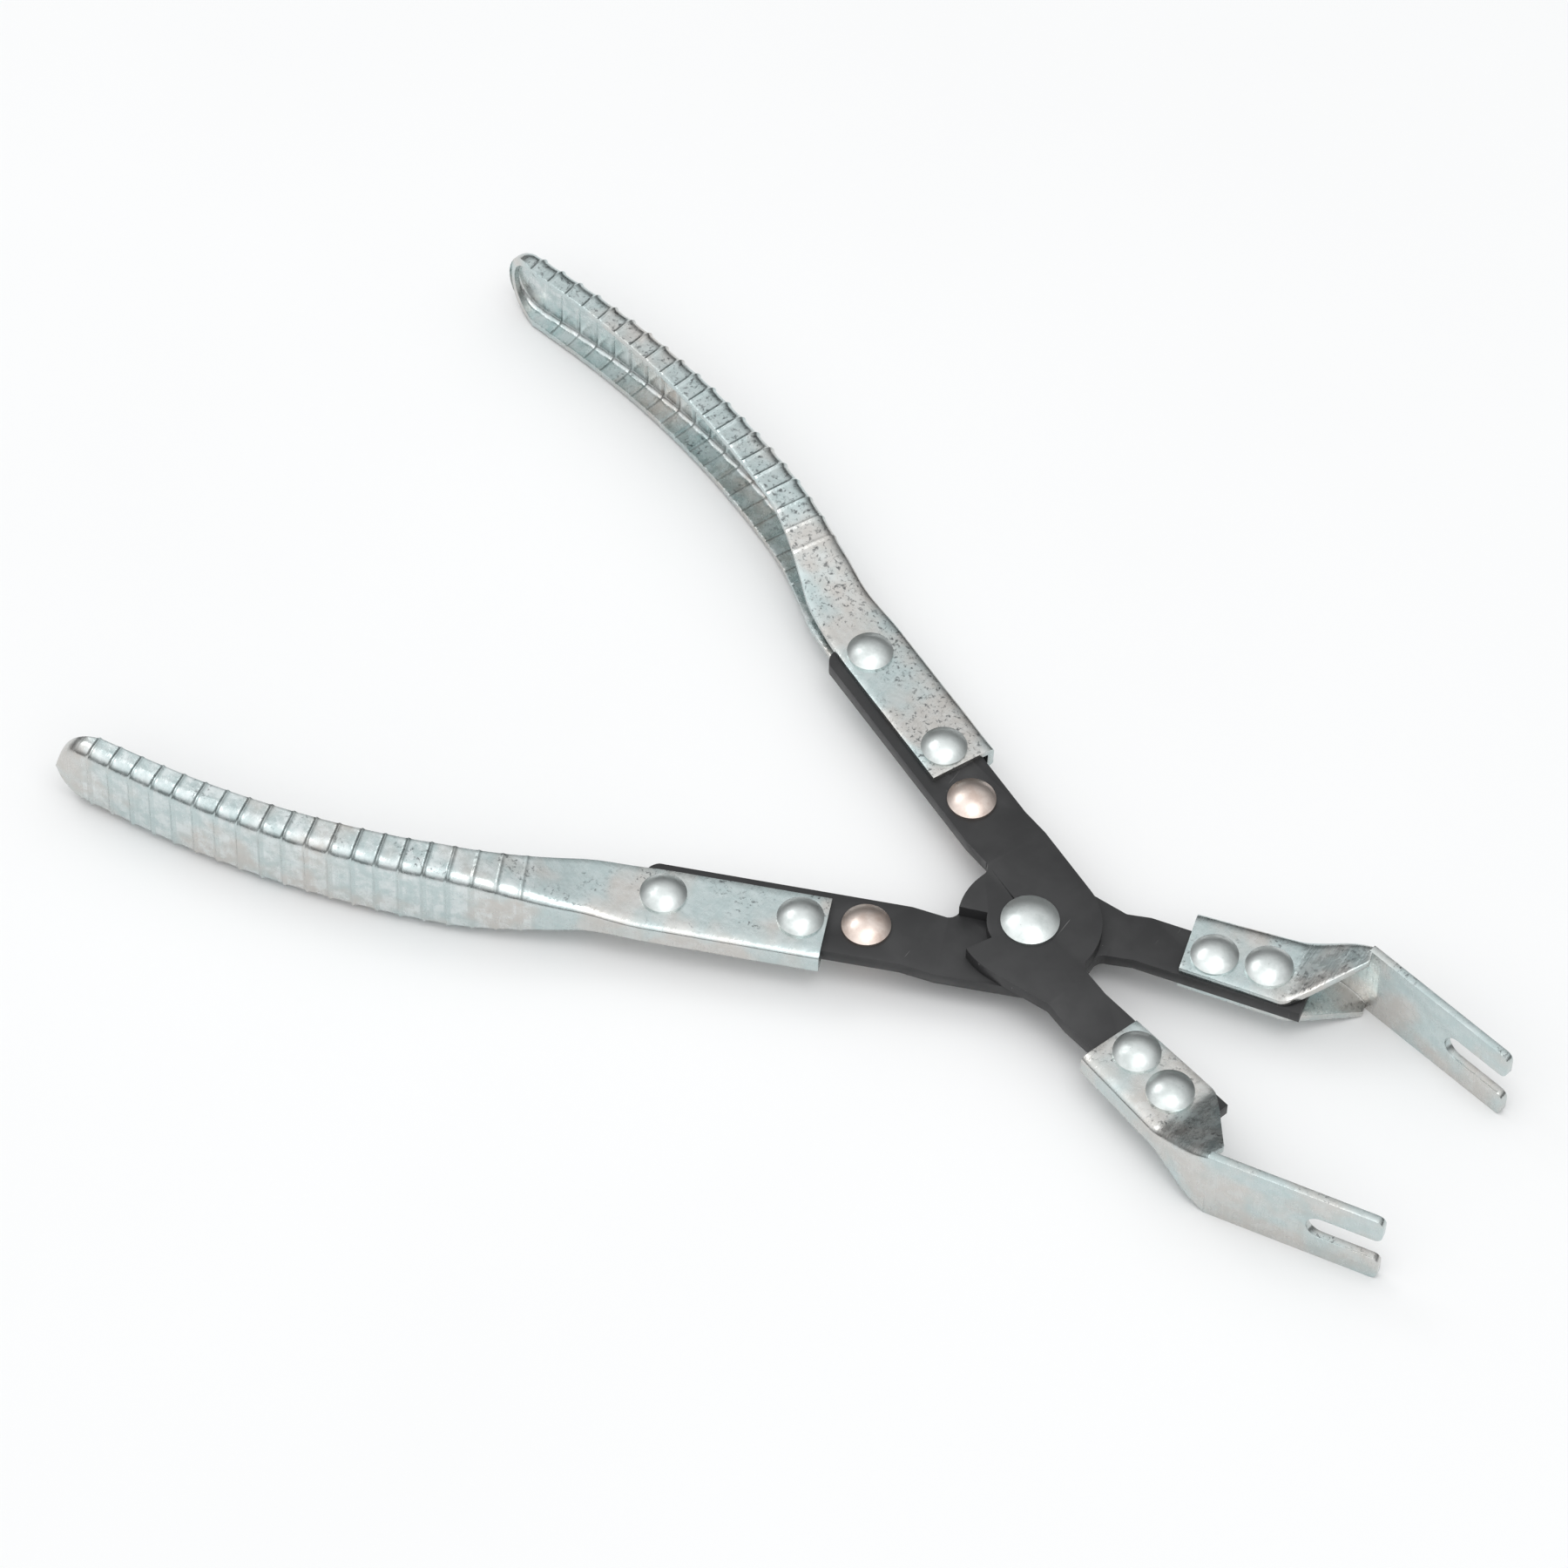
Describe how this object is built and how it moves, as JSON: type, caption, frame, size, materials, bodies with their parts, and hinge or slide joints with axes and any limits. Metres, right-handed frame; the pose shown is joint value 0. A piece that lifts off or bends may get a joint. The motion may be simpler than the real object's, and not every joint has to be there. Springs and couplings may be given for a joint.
{
  "type": "trim clip pliers",
  "caption": "Long two-lever pliers with ribbed sheet-steel grips, a riveted pivot and two angled, slotted fork jaws that face each other.",
  "frame": {"origin": "on the pivot axis, at the middle plane of the tool, which is half way between the two lever plates", "axes": "+X from the pivot towards the forks along the line that the two levers mirror about, +Z along the pivot towards the rivet heads, +Y to the left when looking along +X"},
  "size_m": [0.2368, 0.135, 0.0166],
  "materials": {
    "black_oxide": "satin black oxide, worn bright at the edges",
    "zinc_sheet": "bright zinc plate with drawn grain and dark flecks",
    "steel_rivet": "polished",
    "copper_rivet": "polished, warm tinted plate"
  },
  "bodies": {
    "upper_lever": {"lever_upper": "black_oxide", "pivot_rivet": "steel_rivet", "grip_upper": "zinc_sheet", "fork_upper": "zinc_sheet", "arm_rivet_upper": "copper_rivet", "grip_rivet_upper_front": "steel_rivet", "grip_rivet_upper_rear": "steel_rivet", "fork_rivet_upper_front": "steel_rivet", "fork_rivet_upper_rear": "steel_rivet"},
    "lower_lever": {"lever_lower": "black_oxide", "grip_lower": "zinc_sheet", "fork_lower": "zinc_sheet", "arm_rivet_lower": "copper_rivet", "grip_rivet_lower_front": "steel_rivet", "grip_rivet_lower_rear": "steel_rivet", "fork_rivet_lower_front": "steel_rivet", "fork_rivet_lower_rear": "steel_rivet"}
  },
  "joints": [
    {"name": "pivot", "type": "hinge", "parent": "upper_lever", "child": "lower_lever", "pos_m": [0, 0, 0], "axis": [0, 0, -1], "range_deg": [-8, 25]}
  ]
}
